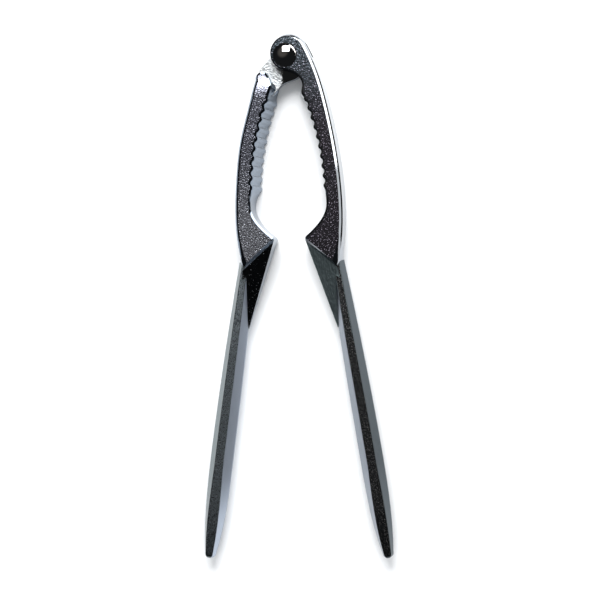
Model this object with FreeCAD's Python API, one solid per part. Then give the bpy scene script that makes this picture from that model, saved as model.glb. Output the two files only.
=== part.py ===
import FreeCAD, Part
import math
import os

# Nutcracker: two die-cast zinc levers turning on one rivet, lying with its fronts up.
# Millimetres. The pivot axis is Z at x = y = 0, the backs lie on z = 0, the fronts look
# along +Z and the handles point along -Y. Both levers are drawn on the +X side: the fork
# lever stays there, and the tongue lever is turned into its mirror image at the end.

V = FreeCAD.Vector

# --- driving dimensions ---------------------------------------------------------------
THICKNESS = 9.0                 # jaws and ears, front to back
MIDDLE = THICKNESS / 2
# The jaw's front edges, as (drop below the face, distance in). The outer edges have a wide
# polished bevel, the seat a narrow one, and the toothed edges are only eased.
EDGE_DROPS = [0.0, 0.05, 0.25, 0.54, 1.05]
OUTER_BEVEL_IN = [1.17, 1.07, 0.81, 0.45, 0.0]
SEAT_BEVEL_IN = [0.75, 0.65, 0.39, 0.03, 0.0]
TOOTHED_EDGE_IN = [0.85, 0.7, 0.12, 0.04, 0.0]
BACK_DROPS = [0.0, 0.05, 0.4, 0.6]
BACK_BEVEL_IN = [0.6, 0.5, 0.1, 0.0]

TEETH = 10                      # scallops of each jaw
TOOTH_DEPTH = 0.7               # tip to trough
FORK_TOOTH_LEAN = 1.2           # the toothed walls come in this far, front to back
TONGUE_TOOTH_LEAN = 1.9
SEAT_LEAN = 0.5                 # the same in the smooth seat for large nuts

EAR_CENTRE = V(1.2, 0.9, 0)
EAR_RADIUS = 6.35
EAR_START = -116.6              # degrees round the ear, where the throat runs into it
EAR_END = 25.0                  # where the outer edge leaves it
EAR_NARROWING = 0.7             # of the ear's bevel beside the rivet
SLOT_WIDTH = 3.1                # between the two ears of the fork
SLOT_RADIUS = 9.0               # floor of the slot, round the pivot
TONGUE_THICKNESS = 2.7
TONGUE_RADIUS = 4.4

BORE_RADIUS = 2.4               # through both ears, tight on the rivet
RUNNING_CLEARANCE = 0.05        # of the tongue's bore, on the radius
SINK_RADIUS = 4.0               # shallow sink round each end of the rivet
SINK_DEPTH = 0.6
SINK_EDGE = 0.15
HEAD_RADIUS = 3.9               # rivet head: a short skirt, a narrow bevel and a dome
HEAD_BEVEL = 0.36               # in, and HEAD_BEVEL_RISE up
HEAD_BEVEL_RISE = 0.275
DOME_SLOPE = 31.0               # degrees, where the dome meets the bevel
TAIL_RADIUS = 3.85              # peened end of the rivet, flush with the backs

HANDLE_HALF = 3.4               # half the handle's thickness
HANDLE_LAND = 0.45              # half the height of its flat sides
HANDLE_CORNER = 0.45            # radius along its edges
HANDLE_INNER_BEVEL = 0.335      # shares of the handle's width
HANDLE_OUTER_BEVEL = 0.285
HANDLE_STEPS = 20
TIP_START = 0.7                 # share of the handle's length where its bevels begin to narrow
TIP_NARROWING = 0.45
TIP_STEPS = 5
TIP_RADIUS = 1.75
FULL_WIDTH = 7.0                # below this width the handle gets thinner too

VEE_DROP = MIDDLE - HANDLE_HALF     # from the jaw's face down to the handle's
VEE_BEVEL = 0.85                # width of the bevel along the V
FLARE = 2.4                     # the jaw's back wall swells this far out to meet the handle

# --- outlines of the basic lever, seen from the front ---------------------------------
JAW_BACK = [V(16.4, -29.2, 0), V(18.0, -41.5, 0), V(18.6, -53.0, 0), V(18.1, -62.3, 0),
            V(15.7, -71.4, 0)]
FORK_BACK = [V(9.7, -2.4, 0), V(11.9, -8.7, 0), V(14.0, -16.9, 0)] + JAW_BACK
TONGUE_BACK = [V(10.6, -7.9, 0), V(11.5, -11.0, 0), V(13.1, -16.9, 0)] + JAW_BACK
TOOTH_LINE = [V(6.0, -13.8, 0), V(10.8, -30.0, 0), V(12.65, -46.5, 0)]
SEAT = [V(10.9, -56.6, 0), V(12.8, -53.0, 0), V(13.15, -49.5, 0)]
NOSE_CENTRE = V(6.65, -62.6, 0)
NOSE_RADIUS = 1.25
NOSE_TOP = 135.0                # degrees: where the nose runs into the seat
NOSE_FRONT = 188.0
NOSE_BOTTOM = 228.8             # and into the V
# From the top tooth up to the head. Each point has its own lean, front to back.
FORK_THROAT = [V(5.5, -12.2, 0), V(5.75, -10.6, 0), V(5.45, -9.0, 0), V(3.3, -6.6, 0)]
FORK_LEANS = [1.9, 1.0, 0.3, 0.0]
TONGUE_THROAT = [V(5.6, -12.4, 0), V(5.1, -10.3, 0), V(5.8, -7.7, 0), V(7.5, -5.2, 0),
                 V(9.4, -5.3, 0)]
TONGUE_LEANS = [1.4, 1.6, 0.6, 0.3, 0.0]

HANDLE_INNER = [V(13.1, -70.0, 0), V(15.8, -93.6, 0), V(18.6, -114.0, 0),
                V(22.2, -138.5, 0), V(26.8, -163.0, 0), V(29.0, -170.2, 0)]
HANDLE_OUTER = [V(18.2, -70.0, 0), V(22.7, -93.6, 0), V(26.3, -114.0, 0),
                V(30.2, -138.5, 0), V(32.7, -163.0, 0), V(32.8, -169.6, 0)]
WEB_END = V(15.5, -93.0, 0)     # where the web below the nose runs out into the handle

TONGUE_TOP = [V(10.1, -5.8, 0), V(9.1, -3.9, 0), V(7.8, -2.6, 0), V(6.1, -0.9, 0)]
TONGUE_BOTTOM = [V(-3.9, -7.3, 0), V(0.1, -8.9, 0), V(2.1, -10.0, 0), V(3.6, -11.6, 0),
                 V(5.2, -13.4, 0)]
GUSSET_TOP = [V(5.6, -8.6, 0), V(5.15, -10.4, 0), V(5.9, -13.2, 0), V(9.0, -12.5, 0), V(9.0, -9.0, 0)]
GUSSET_FOOT = [V(3.3, -10.3, 0), V(3.2, -11.8, 0), V(4.7, -13.2, 0), V(9.0, -12.5, 0), V(7.0, -7.2, 0)]
GUSSET_DROP = 0.5               # its top below the jaw's face


# --- small geometry helpers -----------------------------------------------------------
def turned(vector, degrees):
    angle = math.radians(degrees)
    return V(vector.x * math.cos(angle) - vector.y * math.sin(angle),
             vector.x * math.sin(angle) + vector.y * math.cos(angle), vector.z)


def at_height(point, z):
    return V(point.x, point.y, z)


def round_point(centre, radius, degrees):
    return centre + turned(V(radius, 0, 0), degrees)


def spline(points):
    curve = Part.BSplineCurve()
    curve.interpolate(points)
    return curve


def moved_left(points, amounts):
    """The points moved to the left of the smooth line through them."""
    curve = spline(points)
    moved = []
    for point, amount in zip(points, amounts):
        along = curve.tangent(curve.parameter(point))[0]
        moved.append(point + turned(along, 90) * amount)
    return moved


def crossing(point_a, along_a, point_b, along_b):
    """Where two straight lines cross, seen from the front."""
    across = along_a.x * along_b.y - along_a.y * along_b.x
    gap = point_b - point_a
    return point_a + along_a * ((gap.x * along_b.y - gap.y * along_b.x) / across)


def prism(points, low, high):
    """Straight-sided solid over a closed outline of points."""
    outline = Part.makePolygon([at_height(p, low) for p in points + points[:1]])
    return Part.Face(outline).extrude(V(0, 0, high - low))


# --- jaw ------------------------------------------------------------------------------
def jaw_levels():
    """Heights of the jaw's outlines, each with how far in its outer, seat and toothed edges are."""
    back = [(drop, inset, inset, inset) for drop, inset in zip(BACK_DROPS, BACK_BEVEL_IN)]
    front = [(THICKNESS - drop, outer, seat, toothed) for drop, outer, seat, toothed
             in zip(EDGE_DROPS, OUTER_BEVEL_IN, SEAT_BEVEL_IN, TOOTHED_EDGE_IN)]
    walls = [(z, 0.0, 0.0, 0.0) for z in (VEE_DROP, MIDDLE, THICKNESS - VEE_DROP)]
    return back + walls + front[::-1]


def tooth_points(grow):
    """Tips and troughs by turns, from the lowest trough up to the highest."""
    line = Part.Arc(*TOOTH_LINE)
    points = []
    for step in range(2 * TEETH, -1, -1):
        u = line.FirstParameter + (line.LastParameter - line.FirstParameter) * step / (2 * TEETH)
        inward = turned(line.tangent(u)[0], -90)
        if inward.x > 0:
            inward = inward * -1
        height = TOOTH_DEPTH / 2 if step % 2 else -TOOTH_DEPTH / 2
        points.append(line.value(u) + inward * (height + grow))
    return points


def scallops(points, z):
    """Arcs over each tip and through each trough, meeting half-way between them."""
    joins = [(a + b) * 0.5 for a, b in zip(points, points[1:])]
    arcs = []
    for start, top, end in zip(joins, points[1:], joins[1:]):
        arcs.append(Part.Arc(at_height(start, z), at_height(top, z), at_height(end, z)).toShape())
    return arcs, joins[0], joins[-1]


def jaw_outline(level, back_edge, throat, throat_leans, tooth_lean, has_ear):
    """The jaw's closed outline at one height: back, V, nose, seat, teeth, throat, head."""
    z, outer_in, seat_in, toothed_in = level
    depth = (THICKNESS - z) / THICKNESS
    vee_in = VEE_BEVEL * max(0.0, abs(z - MIDDLE) - HANDLE_HALF) / VEE_DROP

    # The ear's bevel is wide where it meets the lever's back and narrow beside the rivet.
    narrow_in = EAR_NARROWING * toothed_in
    ear_centre = EAR_CENTRE - round_point(V(0, 0, 0), (outer_in - narrow_in) / 2, EAR_END)
    ear_radius = EAR_RADIUS - (outer_in + narrow_in) / 2
    ear_low, ear_top, ear_end = [round_point(ear_centre, ear_radius, angle) for angle in
                                 (EAR_START, (EAR_START + EAR_END) / 2 + 180, EAR_END)]

    if has_ear:
        back_edge = [round_point(EAR_CENTRE, EAR_RADIUS, EAR_END)] + back_edge
    swell = FLARE * (1 - abs(z - MIDDLE) / MIDDLE)
    flares = [0.0] * (len(back_edge) - 2) + [0.1 * swell, swell]
    back = moved_left(back_edge, [flare - outer_in for flare in flares])
    if has_ear:
        back[0] = ear_end
    vee_along = turned(V(1, 0, 0), NOSE_BOTTOM + 90)
    vee_start = round_point(NOSE_CENTRE, NOSE_RADIUS - vee_in, NOSE_BOTTOM)
    back[-1] = crossing(back[-1], back[-1] - back[-2], vee_start, vee_along)

    nose_tip = round_point(NOSE_CENTRE, NOSE_RADIUS - (seat_in + vee_in) / 2, NOSE_FRONT)
    nose_end = round_point(NOSE_CENTRE, NOSE_RADIUS - seat_in, NOSE_TOP)
    teeth, teeth_start, teeth_end = scallops(tooth_points(tooth_lean * depth - toothed_in), z)
    seat_leans = [0.0, 0.3 * SEAT_LEAN, SEAT_LEAN]
    seat = moved_left(SEAT, [lean * depth - seat_in for lean in seat_leans])
    top_tooth = Part.Arc(*TOOTH_LINE).StartPoint
    moves = [lean * depth - toothed_in for lean in throat_leans]
    throat = moved_left([top_tooth] + throat, [0.0] + moves)[1:]

    def smooth(points):
        return spline([at_height(p, z) for p in points]).toShape()

    edges = [smooth(back),
             Part.LineSegment(at_height(back[-1], z), at_height(vee_start, z)).toShape(),
             Part.Arc(at_height(vee_start, z), at_height(nose_tip, z), at_height(nose_end, z)).toShape(),
             smooth([nose_end] + seat + [teeth_start])]
    edges += teeth
    if has_ear:
        edges.append(smooth([teeth_end] + throat + [ear_low]))
        edges.append(Part.Arc(at_height(ear_low, z), at_height(ear_top, z),
                              at_height(ear_end, z)).toShape())
    else:
        edges.append(smooth([teeth_end] + throat + [back[0]]))
    return Part.Wire(edges)


def jaw(*shape):
    """The jaw's solid, ruled from outline to outline."""
    return Part.makeLoft([jaw_outline(level, *shape) for level in jaw_levels()], True, True)


# --- handle ---------------------------------------------------------------------------
def rounded_polygon(corners, radius):
    """A closed outline whose corners are arcs of one radius."""
    edges = []
    ends = []
    for index, corner in enumerate(corners):
        before = (corners[index - 1] - corner).normalize()
        after = (corners[(index + 1) % len(corners)] - corner).normalize()
        half_angle = before.getAngle(after) / 2
        back_off = radius / math.tan(half_angle)
        bisector = (before + after).normalize()
        centre = corner + bisector * (radius / math.sin(half_angle))
        start, end = corner + before * back_off, corner + after * back_off
        ends.append((start, centre - bisector * radius, end))
    for index, (start, top, end) in enumerate(ends):
        edges.append(Part.Arc(start, top, end).toShape())
        edges.append(Part.LineSegment(end, ends[(index + 1) % len(ends)][0]).toShape())
    return Part.Wire(edges)


def handle_section(inner, outer, half, narrowing):
    """The eight-sided section between two points of the handle's outline."""
    width = inner.distanceToPoint(outer)
    land = HANDLE_LAND * half / HANDLE_HALF
    flat_inner = inner + (outer - inner) * HANDLE_INNER_BEVEL * (1 - narrowing)
    flat_outer = outer + (inner - outer) * HANDLE_OUTER_BEVEL * (1 - narrowing)
    corners = [V(p.x, p.y, MIDDLE + height) for p, height in (
        (inner, -land), (flat_inner, -half), (flat_outer, -half), (outer, -land),
        (outer, land), (flat_outer, half), (flat_inner, half), (inner, land))]
    radius = HANDLE_CORNER * min(1.0, width / FULL_WIDTH, half / HANDLE_HALF)
    return rounded_polygon(corners, radius * 0.8)


def handle():
    """Straight run of sections down the handle, closed by a rounded tip."""
    inner_line, outer_line = spline(HANDLE_INNER), spline(HANDLE_OUTER)
    pairs = []
    for step in range(HANDLE_STEPS + 1):
        share = step / HANDLE_STEPS
        pairs.append([line.value(line.FirstParameter + share * (line.LastParameter - line.FirstParameter))
                      for line in (inner_line, outer_line)])
    tip_inner, tip_outer = pairs[-1]
    tip_middle = (tip_inner + tip_outer) * 0.5
    down = turned((tip_outer - tip_inner).normalize(), -90)
    for step in range(1, TIP_STEPS + 1):
        turn = math.radians(82 * step / TIP_STEPS)
        shift = down * (TIP_RADIUS * math.sin(turn))
        pairs.append([tip_middle + (end - tip_middle) * math.cos(turn) + shift
                      for end in (tip_inner, tip_outer)])
    sections = []
    for step, (inner, outer) in enumerate(pairs):
        width = inner.distanceToPoint(outer)
        half = HANDLE_HALF * min(1.0, width / FULL_WIDTH) ** 0.6
        along = min(1.0, step / HANDLE_STEPS)
        narrowing = TIP_NARROWING * max(0.0, along - TIP_START) / (1 - TIP_START)
        sections.append(handle_section(inner, outer, half, narrowing))
    return Part.makeLoft(sections, True, True)


def web():
    """Sloping facet between the V, the nose and the handle, the same front and back."""
    vee_along = turned(V(1, 0, 0), NOSE_BOTTOM + 90)
    vee_start = round_point(NOSE_CENTRE, NOSE_RADIUS, NOSE_BOTTOM)
    side_start = round_point(NOSE_CENTRE, NOSE_RADIUS, NOSE_FRONT + 12)
    vertex = vee_start + vee_along * 12.4
    outline = [side_start, WEB_END, WEB_END + V(3.0, 0.5, 0), vertex + V(1.4, -0.6, 0),
               vertex + V(0.6, 1.5, 0), NOSE_CENTRE + V(1.5, 0.6, 0)]
    block = prism(outline, MIDDLE - HANDLE_HALF, MIDDLE + HANDLE_HALF)

    away = turned(vee_along, -90)
    if away.y > 0:
        away = away * -1
    run = (WEB_END - vee_start).dot(away)
    slope = (HANDLE_HALF - HANDLE_LAND) / run
    start = vee_start - vee_along * 20
    profile = []
    for distance, side in ((-6.0, -1), (run * 1.4, -1), (run * 1.4, 1), (-6.0, 1)):
        height = HANDLE_HALF - slope * distance
        profile.append(start + away * distance + V(0, 0, MIDDLE + side * height))
    wedge = Part.Face(Part.makePolygon(profile + profile[:1])).extrude(vee_along * 50)
    return block.common(wedge)


# --- the three pieces -----------------------------------------------------------------
def bore(radius):
    return Part.makeCylinder(radius, THICKNESS + 2, V(0, 0, -1))


def sink(z_face, into):
    """Shallow round sink with a broken edge, for one end of the rivet."""
    floor = z_face + into * SINK_DEPTH
    wide = SINK_RADIUS + SINK_EDGE
    profile = [V(0, 0, floor), V(SINK_RADIUS, 0, floor), V(SINK_RADIUS, 0, z_face + into * SINK_EDGE),
               V(wide, 0, z_face), V(wide, 0, z_face - into), V(0, 0, z_face - into)]
    face = Part.Face(Part.makePolygon(profile + profile[:1]))
    return face.revolve(V(0, 0, 0), V(0, 0, 1), 360)


def fork_lever():
    lever = jaw(FORK_BACK, FORK_THROAT, FORK_LEANS, FORK_TOOTH_LEAN, True).fuse([web(), handle()])
    slot = Part.makeCylinder(SLOT_RADIUS, SLOT_WIDTH, V(0, 0, MIDDLE - SLOT_WIDTH / 2))
    return lever.cut([slot, bore(BORE_RADIUS), sink(THICKNESS, -1), sink(0, 1)]).removeSplitter()


def tongue_plate():
    """Flat tongue that goes between the ears, drawn with its lever on the +X side."""
    z = MIDDLE - TONGUE_THICKNESS / 2
    leave = V(TONGUE_RADIUS, 0, 0)
    meet = turned(leave, 180)
    edges = [spline(TONGUE_TOP + [turned(leave, 12)]).toShape(),
             Part.Arc(turned(leave, 12), turned(leave, 95), meet).toShape(),
             spline([meet, V(-4.9, -3.8, 0)] + TONGUE_BOTTOM).toShape(),
             Part.LineSegment(TONGUE_BOTTOM[-1], V(9.0, -14.2, 0)).toShape(),
             Part.LineSegment(V(9.0, -14.2, 0), TONGUE_TOP[0]).toShape()]
    plate = Part.Face(Part.Wire(edges)).extrude(V(0, 0, TONGUE_THICKNESS))
    plate.translate(V(0, 0, z))
    return plate


def gusset():
    """Sloping corner that carries the jaw's thickness down onto the tongue, front and back."""
    outlines = []
    for points, z in ((GUSSET_TOP, GUSSET_DROP), (GUSSET_FOOT, MIDDLE),
                      (GUSSET_TOP, THICKNESS - GUSSET_DROP)):
        outlines.append(Part.makePolygon([at_height(p, z) for p in points + points[:1]]))
    return Part.makeLoft(outlines, True, True)


def tongue_lever():
    lever = jaw(TONGUE_BACK, TONGUE_THROAT, TONGUE_LEANS, TONGUE_TOOTH_LEAN, False)
    lever = lever.fuse([web(), handle(), tongue_plate(), gusset()])
    lever = lever.cut(bore(BORE_RADIUS + RUNNING_CLEARANCE)).removeSplitter()
    return lever.mirror(V(0, 0, 0), V(1, 0, 0))


def pivot_rivet():
    """Domed head in the front sink, shank through both ears, end peened flat at the back."""
    seat = THICKNESS - SINK_DEPTH
    dome_radius = HEAD_RADIUS - HEAD_BEVEL
    dome_foot = THICKNESS + HEAD_BEVEL_RISE
    ball = dome_radius / math.sin(math.radians(DOME_SLOPE))
    ball_middle = dome_foot - ball * math.cos(math.radians(DOME_SLOPE))
    half_way = V(0, 0, ball_middle) + V(ball * math.sin(math.radians(DOME_SLOPE / 2)), 0,
                                        ball * math.cos(math.radians(DOME_SLOPE / 2)))
    peak = V(0, 0, ball_middle + ball)
    dome = Part.Arc(V(dome_radius, 0, dome_foot), half_way, peak).toShape()
    corners = [peak, V(0, 0, 0), V(TAIL_RADIUS - 0.3, 0, 0), V(TAIL_RADIUS, 0, 0.3),
               V(TAIL_RADIUS, 0, SINK_DEPTH), V(BORE_RADIUS, 0, SINK_DEPTH), V(BORE_RADIUS, 0, seat),
               V(HEAD_RADIUS, 0, seat), V(HEAD_RADIUS, 0, THICKNESS), V(dome_radius, 0, dome_foot)]
    sides = [Part.LineSegment(a, b).toShape() for a, b in zip(corners, corners[1:])]
    profile = Part.Face(Part.Wire(sides + [dome]))
    return profile.revolve(V(0, 0, 0), V(0, 0, 1), 360)


PIECES = {"fork_lever": fork_lever, "tongue_lever": tongue_lever, "pivot_rivet": pivot_rivet}

os.makedirs("parts", exist_ok=True)
for name, make in PIECES.items():
    shape = make()
    if len(shape.Solids) == 1:
        shape = shape.Solids[0]
    shape.exportStep("parts/" + name + ".step")
    print(name, "valid", shape.isValid(), "solids", len(shape.Solids), "faces", len(shape.Faces),
          "volume", round(shape.Volume, 1), "box", shape.BoundBox)
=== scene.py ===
import math

import bmesh
import bpy
from mathutils import Matrix, Vector


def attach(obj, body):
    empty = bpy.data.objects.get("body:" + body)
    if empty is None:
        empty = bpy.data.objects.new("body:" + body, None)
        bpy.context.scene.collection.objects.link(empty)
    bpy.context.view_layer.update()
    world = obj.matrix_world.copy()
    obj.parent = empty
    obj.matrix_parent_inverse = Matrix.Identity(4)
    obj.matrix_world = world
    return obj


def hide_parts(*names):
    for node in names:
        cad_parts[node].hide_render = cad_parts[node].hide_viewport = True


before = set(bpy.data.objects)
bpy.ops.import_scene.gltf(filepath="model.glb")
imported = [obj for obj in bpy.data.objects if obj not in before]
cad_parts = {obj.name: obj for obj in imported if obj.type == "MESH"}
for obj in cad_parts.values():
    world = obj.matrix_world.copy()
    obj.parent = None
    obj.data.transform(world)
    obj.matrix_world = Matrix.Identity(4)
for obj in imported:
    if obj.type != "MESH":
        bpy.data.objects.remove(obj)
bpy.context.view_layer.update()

MM = 0.001

# --- Camera -------------------------------------------------------------------------
# The nutcracker lies on the table with its fronts up. The camera looks down on it from a
# little to the fork lever's side, with a long lens.
CAMERA_TARGET = Vector((3.25, -83.4, 8.4)) * MM
CAMERA_TILT = math.radians(10.5)
CAMERA_ROLL = math.radians(-1.35)
CAMERA_DISTANCE = 650 * MM
CAMERA_LENS = 114.7

camera_data = bpy.data.cameras.new("camera")
camera_data.lens = CAMERA_LENS
camera_data.clip_start = 0.01
camera = bpy.data.objects.new("camera", camera_data)
bpy.context.scene.collection.objects.link(camera)
camera.matrix_world = (Matrix.Translation(CAMERA_TARGET)
                       @ Matrix.Rotation(CAMERA_TILT, 4, "Y")
                       @ Matrix.Rotation(CAMERA_ROLL, 4, "Z")
                       @ Matrix.Translation((0, 0, CAMERA_DISTANCE)))
bpy.context.scene.camera = camera
# The plain transform keeps the paper white and the chrome's contrast hard.
bpy.context.scene.view_settings.view_transform = "Standard"

# --- Table and light ------------------------------------------------------------------
# A sheet of white paper in a dim room. One soft box stands beyond the pivot, a long low
# window and a weak curtain to the right, and the ceiling gives the flat faces a faint sheen.
def linear(hex_colour):
    """sRGB hex to the linear values that shader sockets take."""
    channels = [int(hex_colour[i:i + 2], 16) / 255 for i in (1, 3, 5)]
    return [c / 12.92 if c <= 0.04045 else ((c + 0.055) / 1.055) ** 2.4 for c in channels] + [1.0]


def add_node(tree, kind, settings, inputs):
    """Adds a node, sets its properties, and sets or links its inputs."""
    node = tree.nodes.new(kind)
    for key, value in settings.items():
        setattr(node, key, value)
    for key, value in inputs.items():
        if isinstance(value, bpy.types.NodeSocket):
            tree.links.new(value, node.inputs[key])
        else:
            node.inputs[key].default_value = value
    return node


def new_material(name):
    material = bpy.data.materials.new(name)
    material.use_nodes = True
    material.node_tree.nodes.clear()
    return material, material.node_tree


TABLE_SIZE = 1.2
TABLE_MIDDLE = (0, -0.085, 0)

# Uncoated white paper: matt, with no highlight of its own.
paper, tree = new_material("matt_white_paper")
shader = add_node(tree, "ShaderNodeBsdfPrincipled", {},
                  {"Base Color": linear("#F4F5F6"), "Roughness": 0.9, "Specular IOR Level": 0.2})
add_node(tree, "ShaderNodeOutputMaterial", {}, {"Surface": shader.outputs[0]})

bpy.ops.object.select_all(action="DESELECT")
bpy.ops.mesh.primitive_plane_add(size=TABLE_SIZE, location=TABLE_MIDDLE)
table = bpy.context.object
table.name = "table"
table.data.materials.append(paper)

ROOM_GREY = "#1E2022"
CEILING_GREY = "#5A5856"
CEILING_AIM = Vector((-0.35, 0.45, 1.0)).normalized()
CEILING_EDGE = 0.80             # cosines off its aim, where the ceiling starts and is whole
CEILING_WHOLE = 0.97
HAZE_STRENGTH = 0.75            # fills the shadows on the paper
BACKGROUND_STRENGTH = 1.2       # what the camera sees past the paper

world = bpy.data.worlds.new("room")
bpy.context.scene.world = world
world.use_nodes = True
tree = world.node_tree
tree.nodes.clear()
place = add_node(tree, "ShaderNodeTexCoord", {}, {})
facing = add_node(tree, "ShaderNodeVectorMath", {"operation": "DOT_PRODUCT"},
                  {0: place.outputs["Generated"], 1: CEILING_AIM})
fade = add_node(tree, "ShaderNodeMapRange", {"interpolation_type": "SMOOTHSTEP"},
                {0: facing.outputs["Value"], 1: CEILING_EDGE, 2: CEILING_WHOLE})
tones = add_node(tree, "ShaderNodeMix", {"data_type": "RGBA"},
                 {0: fade.outputs[0], 6: linear(ROOM_GREY), 7: linear(CEILING_GREY)})
rays = add_node(tree, "ShaderNodeLightPath", {}, {})
haze = add_node(tree, "ShaderNodeBackground", {},
                {"Color": linear("#F4F6F8"), "Strength": HAZE_STRENGTH})
pale = add_node(tree, "ShaderNodeBackground", {},
                {"Color": linear("#FFFFFF"), "Strength": BACKGROUND_STRENGTH})
dim = add_node(tree, "ShaderNodeBackground", {}, {"Color": tones.outputs[2], "Strength": 1.0})
fill = add_node(tree, "ShaderNodeMixShader", {}, {0: rays.outputs["Is Diffuse Ray"],
                                                 1: dim.outputs[0], 2: haze.outputs[0]})
mix = add_node(tree, "ShaderNodeMixShader", {}, {0: rays.outputs["Is Camera Ray"],
                                                1: fill.outputs[0], 2: pale.outputs[0]})
add_node(tree, "ShaderNodeOutputWorld", {}, {"Surface": mix.outputs[0]})


LIGHT_DISTANCE = 0.9
LIT_POINT = Vector((0, -0.07, 0))


def soft_box(name, azimuth, elevation, width, height, watts):
    """An area light that faces the nutcracker; its direction and size are in degrees."""
    data = bpy.data.lights.new(name, "AREA")
    data.shape = "RECTANGLE"
    data.size = 2 * LIGHT_DISTANCE * math.tan(math.radians(width / 2))
    data.size_y = 2 * LIGHT_DISTANCE * math.tan(math.radians(height / 2))
    data.energy = watts
    light = bpy.data.objects.new(name, data)
    bpy.context.scene.collection.objects.link(light)
    aim = (Matrix.Rotation(math.radians(azimuth), 3, "Z")
           @ Matrix.Rotation(math.radians(-elevation), 3, "Y") @ Vector((1, 0, 0)))
    light.location = LIT_POINT + LIGHT_DISTANCE * aim
    light.rotation_euler = aim.to_track_quat("Z", "Y").to_euler()


soft_box("soft_box", azimuth=90, elevation=44, width=36, height=32, watts=10.5)
soft_box("window", azimuth=46, elevation=20, width=60, height=14, watts=4)
soft_box("curtain", azimuth=0, elevation=20, width=32, height=14, watts=0.45)

# --- Fork lever -----------------------------------------------------------------------
# Zinc, die cast and chrome plated. Its flat faces keep the mould's fine pebbled skin, and
# the bevels round them were polished before plating.
MERGE_WITHIN = 0.002 * MM
SMOOTH_UP_TO = math.radians(28)
BEVEL_LINE = 0.085              # change in a face's level that shows as a line
NEARLY_LEVEL = 0.5              # faces steeper than this are walls, and stay smooth


def finished_casting(node, name):
    """A copy of the CAD solid with merged corners."""
    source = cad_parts[node]
    bpy.ops.object.select_all(action="DESELECT")
    piece = source.copy()
    piece.data = source.data.copy()
    piece.name = name
    piece.parent = None
    for key in list(piece.keys()):
        del piece[key]
    piece.data.materials.clear()
    bpy.context.scene.collection.objects.link(piece)
    bpy.context.view_layer.objects.active = piece
    piece.select_set(True)
    bpy.ops.mesh.customdata_custom_splitnormals_clear()
    bpy.ops.object.mode_set(mode="EDIT")
    bpy.ops.mesh.select_all(action="SELECT")
    bpy.ops.mesh.remove_doubles(threshold=MERGE_WITHIN)
    bpy.ops.object.mode_set(mode="OBJECT")
    return piece


def smooth_walls(piece):
    """Smooth curved walls, with a crisp line wherever one bevel meets the next."""
    bpy.ops.object.shade_smooth_by_angle(angle=SMOOTH_UP_TO)
    mesh = bmesh.new()
    mesh.from_mesh(piece.data)
    for edge in mesh.edges:
        levels = [abs(face.normal.z) for face in edge.link_faces]
        if max(levels) - min(levels) > BEVEL_LINE and min(levels) > NEARLY_LEVEL:
            edge.smooth = False
    mesh.to_mesh(piece.data)
    mesh.free()
    normals = piece.modifiers.new("normals", "WEIGHTED_NORMAL")
    normals.keep_sharp = True
    bpy.ops.object.modifier_apply(modifier="normals")


GRAIN_HOLLOW = 0.34             # heights on the noise where a grain's painted shadow ends, and where its full colour starts
GRAIN_TOP = 0.54                # and where its full colour starts
GLINT_RISE = 0.07
GLINT_ROUGHNESS = 0.55


def chrome(name, colour, roughness, grain=None, relief=None, stretch=(1, 1, 1), painted_glints=None,
           painted_end_light=None):
    """Chrome plate, plain or over a cast or ground skin: grain size and relief depth in mm.
    The painted glints are a light colour painted on the grain tops, painted highlights for the
    grains that face the light, as (how high on the grain they start, colour, colour of the painted
    shadow in the grain hollows). The painted end light is a lighter colour painted onto the skin
    along Y, as painted light, as (from, to, colour)."""
    material, tree = new_material(name)
    shader = add_node(tree, "ShaderNodeBsdfPrincipled", {},
                      {"Base Color": linear(colour), "Metallic": 1.0, "Roughness": roughness})
    add_node(tree, "ShaderNodeOutputMaterial", {}, {"Surface": shader.outputs[0]})
    if grain:
        place = add_node(tree, "ShaderNodeTexCoord", {}, {})
        laid = add_node(tree, "ShaderNodeMapping", {}, {"Vector": place.outputs["Object"],
                                                       "Scale": stretch})
        grains = add_node(tree, "ShaderNodeTexNoise", {}, {"Vector": laid.outputs[0],
                          "Scale": 1 / (grain * MM), "Detail": 2.0, "Roughness": 0.6})
        bump = add_node(tree, "ShaderNodeBump", {}, {"Strength": 1.0, "Distance": relief * MM,
                                                    "Height": grains.outputs[0]})
        tree.links.new(bump.outputs[0], shader.inputs["Normal"])
    # Painted highlights on the grain tops and painted shade in the grain hollows, in the base
    # colour.
    if painted_glints:
        start, glint_colour, shadow_colour = painted_glints
        lit = add_node(tree, "ShaderNodeMapRange", {},
                       {0: grains.outputs[0], 1: start, 2: start + GLINT_RISE})
        raised = add_node(tree, "ShaderNodeMapRange", {},
                          {0: grains.outputs[0], 1: GRAIN_HOLLOW, 2: GRAIN_TOP})
        tone = add_node(tree, "ShaderNodeMix", {"data_type": "RGBA"},
                        {0: raised.outputs[0], 6: linear(shadow_colour), 7: linear(colour)})
        # A lighter tone painted along Y over the grain tops, as painted light.
        if painted_end_light:
            tone_from, tone_to, end_light_colour = painted_end_light
            axes = add_node(tree, "ShaderNodeSeparateXYZ", {}, {0: place.outputs["Object"]})
            along = add_node(tree, "ShaderNodeMapRange", {},
                             {0: axes.outputs[1], 1: tone_from * MM, 2: tone_to * MM})
            mottled_end_light = add_node(tree, "ShaderNodeMath", {"operation": "MULTIPLY"},
                               {0: along.outputs[0], 1: raised.outputs[0]})
            tone = add_node(tree, "ShaderNodeMix", {"data_type": "RGBA"},
                            {0: mottled_end_light.outputs[0], 6: tone.outputs[2], 7: linear(end_light_colour)})
        tone = add_node(tree, "ShaderNodeMix", {"data_type": "RGBA"},
                        {0: lit.outputs[0], 6: tone.outputs[2], 7: linear(glint_colour)})
        spread = add_node(tree, "ShaderNodeMapRange", {},
                          {0: lit.outputs[0], 3: roughness, 4: GLINT_ROUGHNESS})
        tree.links.new(tone.outputs[2], shader.inputs["Base Color"])
        tree.links.new(spread.outputs[0], shader.inputs["Roughness"])
    return material


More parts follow.
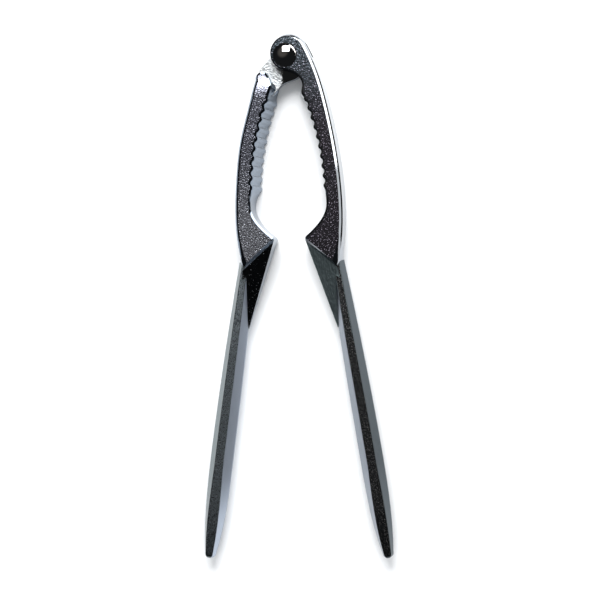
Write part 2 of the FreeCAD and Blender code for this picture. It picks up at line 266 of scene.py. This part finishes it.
JAW_THICKNESS = 9 * MM
FACE_SLACK = 0.15 * MM          # a flat face's middle lies within this of its plane
JAW_FOOT = -72 * MM             # the jaws' flat faces end here along Y
HANDLE_TOP = -71.5 * MM         # and the handles begin
WEB_TOP = -60 * MM
WEB_FOOT = -96 * MM
WEB_HALF = 3.6 * MM             # the webs lie within this of the middle of the thickness
FLAT = 0.995                    # levels, as the upright part of a face's normal
HANDLE_LAND = 0.97
BEVEL_STEEPEST = 0.2
WEB_FLATTEST = 0.9995


def is_front_face(face):
    return (face.normal.z > FLAT and face.center.z > JAW_THICKNESS - FACE_SLACK
            and face.center.y > JAW_FOOT)


def is_back_face(face):
    return face.normal.z < -FLAT and face.center.z < FACE_SLACK and face.center.y > JAW_FOOT


def is_handle(face):
    return face.center.y < HANDLE_TOP


def is_handle_land(face):
    return is_handle(face) and abs(face.normal.z) > HANDLE_LAND


def is_handle_bevel(face):
    return is_handle(face) and BEVEL_STEEPEST < abs(face.normal.z) <= HANDLE_LAND


def is_web(face):
    """The sloping triangle between a jaw's nose and its handle."""
    return (HANDLE_LAND < abs(face.normal.z) < WEB_FLATTEST
            and WEB_FOOT < face.center.y < WEB_TOP
            and abs(face.center.z - JAW_THICKNESS / 2) < WEB_HALF)


def apply_finishes(piece, finishes):
    """Gives each face the last finish whose test it passes."""
    for index, (material, test) in enumerate(finishes):
        piece.data.materials.append(material)
        for face in piece.data.polygons:
            if test(face):
                face.material_index = index


# Buffed bright before plating: a mirror with long soft waves, which shows as hard white and
# black lines along the edges.
polished = chrome("polished_chrome_edge", "#A2A6AB", 0.05, grain=1.5, relief=0.01)
# Ground along the handle, then plated: dark, with short scratches along its length, drawn
# coarser than the grit so that they show; their tops are painted light as painted glints and
# their hollows painted dark as painted shade.
land = chrome("lengthwise_ground_chrome", "#84888C", 0.24, grain=0.24, relief=0.07,
              stretch=(1, 0.5, 1), painted_glints=(0.60, "#9A9896", "#2E2C2B"))
# Buffed but not mirror bright: an even, soft grey band on each side of the land, painted as a
# darker copy outside as painted shade and a lighter copy inwards as painted light.
fork_bevel_painted_dark = chrome("buffed_chrome_bevel", "#595F63", 0.28, grain=0.6, relief=0.03,
                    stretch=(1, 0.15, 1))
fork_bevel_painted_light = chrome("buffed_chrome_bevel_painted_light_inwards", "#9298A0", 0.28, grain=0.6, relief=0.03,
                     stretch=(1, 0.15, 1))
# The mould's skin under bright plate, in a darker painted copy than the tongue lever's, as
# painted shade: fine grains with tops painted light as painted glints and hollows painted dark as
# painted shade, and a cooler, lighter, more even tone painted towards the ear as painted
# reflection. The grains are drawn at 0.45 mm, coarser than real ones, so that they show.
fork_skin = chrome("pebbled_chrome_painted_dark", "#7E7B86", 0.2, grain=0.45, relief=0.08,
                   painted_glints=(0.61, "#D2CADC", "#55545B"), painted_end_light=(-24, 1, "#8C9FAB"))
# As cast, with streaks of 0.6 mm and more along the casting; its dull green-grey is painted
# lighter than the tongue lever's web, as painted reflection.
fork_web_painted_light = chrome("streaked_cast_chrome", "#94A4A8", 0.42, grain=0.6, relief=0.25,
                  stretch=(1, 0.25, 1))

fork = finished_casting("fork_lever", "fork_lever_casting")
# The fork's handle bevels that face inwards take the lighter copy, as painted light.
apply_finishes(fork, [(polished, lambda face: True), (fork_skin, is_front_face),
                      (fork_skin, is_back_face), (fork_bevel_painted_dark, is_handle_bevel),
                      (fork_bevel_painted_light, lambda face: is_handle_bevel(face) and face.normal.x < 0),
                      (land, is_handle_land), (fork_web_painted_light, is_web)])
smooth_walls(fork)
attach(fork, "fork_body")
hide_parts("fork_lever")

# --- Tongue lever ---------------------------------------------------------------------
# The same casting, handed, with a single tongue between the fork's ears. The polisher's
# wheel doesn't reach the tongue, which stays as rough as it was cast.

# The same skin, as coarsely drawn, in a lighter copy painted light on this side, and painted
# lighter again towards the seat as a painted highlight; grain tops and hollows painted as on the
# fork.
tongue_skin_painted_light = chrome("pebbled_chrome", "#9C9FAE", 0.24, grain=0.45, relief=0.1,
                     painted_glints=(0.61, "#DCE0EA", "#6A6C78"), painted_end_light=(-34, -56, "#E6EAF6"))
# Polished edges in a darker, bluer copy of the fork lever's polished chrome, painted shade, so
# that the paper they mirror shows as a bluish grey wall.
tongue_edge_painted_dark = chrome("polished_chrome_edge_outside_painted_dark", "#828C98", 0.05, grain=1.5, relief=0.01)
# Ground along the handle, and painted lighter than the fork lever's as painted light, with
# scratch tops painted as painted glints and hollows as painted shade.
tongue_land_painted_light = chrome("lengthwise_ground_chrome_outside_painted_light", "#B0BCC4", 0.32, grain=0.24, relief=0.07,
                     stretch=(1, 0.5, 1), painted_glints=(0.60, "#C4CCD2", "#4A5054"))
# As cast: painted nearly black as painted shade, with a few bright sparks painted on as
# painted glints.
tongue_web_painted_dark = chrome("cast_chrome_painted_black_with_glints", "#5A5E62", 0.12, grain=0.45, relief=0.12,
                    painted_glints=(0.66, "#E0E4E8", "#303234"))
# Buffed bevels, as on the fork lever: soft grey bands, painted as a darker copy outside as
# painted shade and a lighter copy inside as painted light.
tongue_bevel_painted_dark = chrome("buffed_chrome_bevel_outside", "#7E8688", 0.28, grain=0.6, relief=0.03,
                      stretch=(1, 0.15, 1))
tongue_bevel_painted_light = chrome("buffed_chrome_bevel_inside_painted_light", "#B0B9C6", 0.40, grain=0.6, relief=0.03,
                       stretch=(1, 0.15, 1))

CAST_EDGE = -1.3 * MM           # the rough skin ends between these, across the tongue
SMOOTH_EDGE = -0.3 * MM
RAGGEDNESS = 1.6 * MM
CAST_GRAIN = 0.55 * MM
CAST_RELIEF = 0.24 * MM
CAST_ROUGHNESS = 0.40
WORN_ROUGHNESS = 0.06

# Rough and grainy as cast where nothing rubs, with a pale tone painted on as painted light;
# smooth towards the ears, past a ragged border where they slide over it, and painted dark there
# as painted shade.
as_cast, tree = new_material("chrome_on_rough_cast_zinc")
place = add_node(tree, "ShaderNodeTexCoord", {}, {})
grains = add_node(tree, "ShaderNodeTexNoise", {}, {"Vector": place.outputs["Object"],
                  "Scale": 1 / CAST_GRAIN, "Detail": 2.0, "Roughness": 0.6})
across = add_node(tree, "ShaderNodeSeparateXYZ", {}, {0: place.outputs["Object"]})
ragged = add_node(tree, "ShaderNodeMath", {"operation": "MULTIPLY_ADD"},
                  {0: grains.outputs[0], 1: RAGGEDNESS, 2: across.outputs[0]})
rough = add_node(tree, "ShaderNodeMapRange", {"interpolation_type": "SMOOTHSTEP"},
                 {0: ragged.outputs[0], 1: CAST_EDGE, 2: SMOOTH_EDGE,
                  3: CAST_ROUGHNESS, 4: WORN_ROUGHNESS})
rough_and_lit = add_node(tree, "ShaderNodeMapRange", {},
                  {0: rough.outputs[0], 1: WORN_ROUGHNESS, 2: CAST_ROUGHNESS})
bump = add_node(tree, "ShaderNodeBump", {}, {"Strength": rough_and_lit.outputs[0],
                "Distance": CAST_RELIEF, "Height": grains.outputs[0]})
# Pale painted light on the rough part, dark painted shade on the smooth part near the ears.
tone = add_node(tree, "ShaderNodeMix", {"data_type": "RGBA"},
                {0: rough_and_lit.outputs[0], 6: linear("#4E5254"), 7: linear("#D2D6D8")})
shader = add_node(tree, "ShaderNodeBsdfPrincipled", {},
                  {"Base Color": tone.outputs[2], "Metallic": 1.0,
                   "Roughness": rough.outputs[0], "Normal": bump.outputs[0]})
add_node(tree, "ShaderNodeOutputMaterial", {}, {"Surface": shader.outputs[0]})

END_START = -15 * MM            # the jaw's flat faces start to fall away here
END_CUTS = 16
CUT_SPACING = 0.65 * MM
END_FALL = 2700                 # of the cubed distance from there, per square metre
END_FALL_MOST = 2.3 * MM
PLATE_HALF = 1.35 * MM          # the tongue lies within this of the middle, and isn't bent
JAW_HALF = JAW_THICKNESS / 2
PLATE_LEVEL = 0.95
PLATE_REACH = 1.5 * MM          # the tongue's faces lie within this of the middle


def divide_end(piece):
    """Cuts the jaw's upper end across, so that it can be bent."""
    bpy.ops.object.mode_set(mode="EDIT")
    for step in range(END_CUTS):
        bpy.ops.mesh.select_all(action="SELECT")
        bpy.ops.mesh.bisect(plane_co=(0, END_START + step * CUT_SPACING, 0), plane_no=(0, 1, 0))
    bpy.ops.object.mode_set(mode="OBJECT")


def round_off_end(piece):
    """Lowers the jaw's faces towards its upper end, as the polisher leaves them."""
    for vertex in piece.data.vertices:
        beyond = vertex.co.y - END_START
        height = vertex.co.z - JAW_HALF
        if beyond > 0 and abs(height) > PLATE_HALF:
            share = min(END_FALL * beyond ** 3, END_FALL_MOST) / (JAW_HALF - PLATE_HALF)
            excess = abs(height) - PLATE_HALF
            vertex.co.z -= math.copysign(excess * share, height)


def is_tongue_plate(face):
    return (abs(face.normal.z) > PLATE_LEVEL
            and abs(face.center.z - JAW_HALF) < PLATE_REACH)


tongue = finished_casting("tongue_lever", "tongue_lever_casting")
divide_end(tongue)
# The tongue's handle bevels that face inwards take the lighter copy, as painted light.
apply_finishes(tongue, [(tongue_edge_painted_dark, lambda face: True), (tongue_skin_painted_light, is_front_face),
                        (tongue_skin_painted_light, is_back_face), (tongue_bevel_painted_dark, is_handle_bevel),
                        (tongue_bevel_painted_light, lambda face: is_handle_bevel(face) and face.normal.x > 0),
                        (tongue_land_painted_light, is_handle_land), (tongue_web_painted_dark, is_web),
                        (as_cast, is_tongue_plate)])
round_off_end(tongue)
smooth_walls(tongue)
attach(tongue, "tongue_body")
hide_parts("tongue_lever")

# --- Pivot rivet ----------------------------------------------------------------------
# A turned and polished steel rivet, bright plated. It's set through both ears and peened
# over at the back.

# Turned, polished and plated: a plain mirror, slightly warm, which shows the lamps small and
# sharp.
bright_steel = chrome("bright_plated_steel", "#C6C3C0", 0.03)

rivet = finished_casting("pivot_rivet", "pivot_rivet_head")
apply_finishes(rivet, [(bright_steel, lambda face: True)])
smooth_walls(rivet)
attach(rivet, "fork_body")
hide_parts("pivot_rivet")
